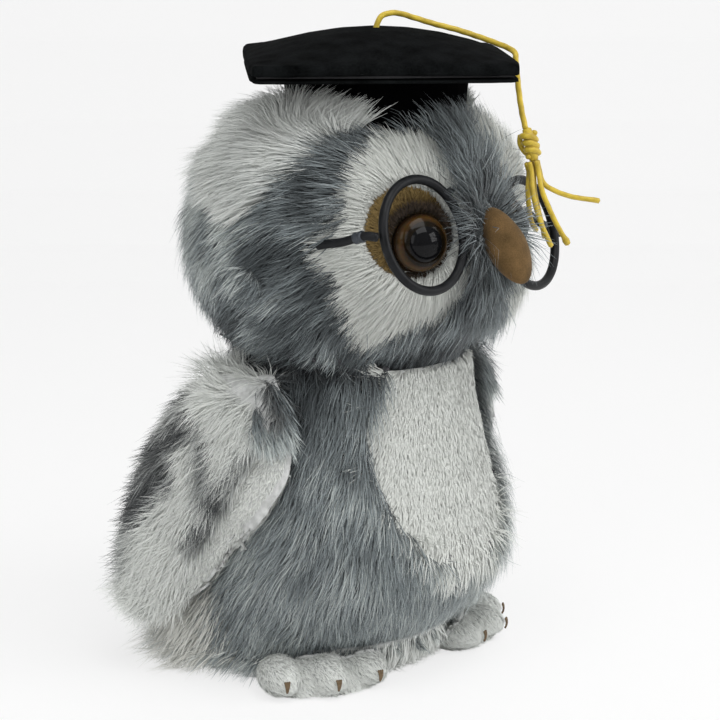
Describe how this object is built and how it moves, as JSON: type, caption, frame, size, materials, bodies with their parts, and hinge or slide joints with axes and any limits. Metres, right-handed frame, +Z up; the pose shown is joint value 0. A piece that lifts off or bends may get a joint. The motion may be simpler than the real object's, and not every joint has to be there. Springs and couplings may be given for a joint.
{
  "type": "plush owl with a square cap",
  "caption": "Standing stuffed owl in long-pile fabric with sewn wings and feet, round wire spectacles, and a square felt cap with a hanging cord tassel.",
  "frame": {"origin": "on the floor under the middle of the square cap", "axes": "+Z up; the owl looks along -Y; its left side is +X"},
  "size_m": [0.1292, 0.1456, 0.2094],
  "materials": {
    "grey_fur": "long frosted pile",
    "white_plush": "short pile",
    "white_fur": "white pile with dark streaks",
    "tan_plush": "short pile",
    "suede": "matt suede cloth",
    "filling": "loose fibre",
    "pellets": "cloth bag of pellets",
    "felt": "matt felt",
    "velvet": "velvet",
    "card": "stiff card",
    "cord": "twisted cord",
    "wire": "black coating, satin",
    "sleeve": "dark crimped sleeve",
    "eye": "amber iris round a black pupil, polished",
    "washer": "moulded"
  },
  "bodies": {
    "owl": {"body_skin": "grey_fur", "head_skin": "grey_fur", "belly_panel": "white_plush", "base_panel": "white_plush", "face_panel_right": "white_plush", "face_panel_left": "white_plush", "foot_right": "white_plush", "foot_left": "white_plush", "temple_patch_right": "white_fur", "temple_patch_left": "white_fur", "tail": "white_fur", "eye_patch_right": "tan_plush", "eye_patch_left": "tan_plush", "beak": "suede", "body_stuffing": "filling", "head_stuffing": "filling", "pellet_bag": "pellets", "cap_board_bottom": "felt", "cap_board_top": "felt", "cap_band": "velvet", "cap_card": "card", "cord_anchor_knot": "cord", "cord_top": "cord", "spectacle_rim_right": "wire", "spectacle_rim_left": "wire", "spectacle_bridge": "wire", "temple_arm_right": "wire", "temple_arm_left": "wire", "crimp_sleeve_right": "sleeve", "crimp_sleeve_left": "sleeve", "eye_right": "eye", "eye_left": "eye", "eye_washer_right": "washer", "eye_washer_left": "washer"},
    "wing_right": {"wing_right_fur": "white_fur", "wing_right_lining": "white_plush", "wing_right_stuffing": "filling"},
    "wing_left": {"wing_left_fur": "white_fur", "wing_left_lining": "white_plush", "wing_left_stuffing": "filling"},
    "tassel": {"cord_drop": "cord", "tassel_knot": "cord", "tassel_strand_1": "cord", "tassel_strand_2": "cord", "tassel_strand_3": "cord", "tassel_strand_4": "cord", "tassel_strand_5": "cord"}
  },
  "joints": [
    {"name": "wing_right_lift", "type": "hinge", "parent": "owl", "child": "wing_right", "pos_m": [-0.0424, 0.008, 0.101], "axis": [0, 1, 0], "range_deg": [0, 65]},
    {"name": "wing_left_lift", "type": "hinge", "parent": "owl", "child": "wing_left", "pos_m": [0.0424, 0.008, 0.101], "axis": [0, -1, 0], "range_deg": [0, 65]},
    {"name": "tassel_swing", "type": "hinge", "parent": "owl", "child": "tassel", "pos_m": [0.0229, -0.0371, 0.1943], "axis": [-0.7071, -0.7071, 0], "range_deg": [0, 60]}
  ]
}
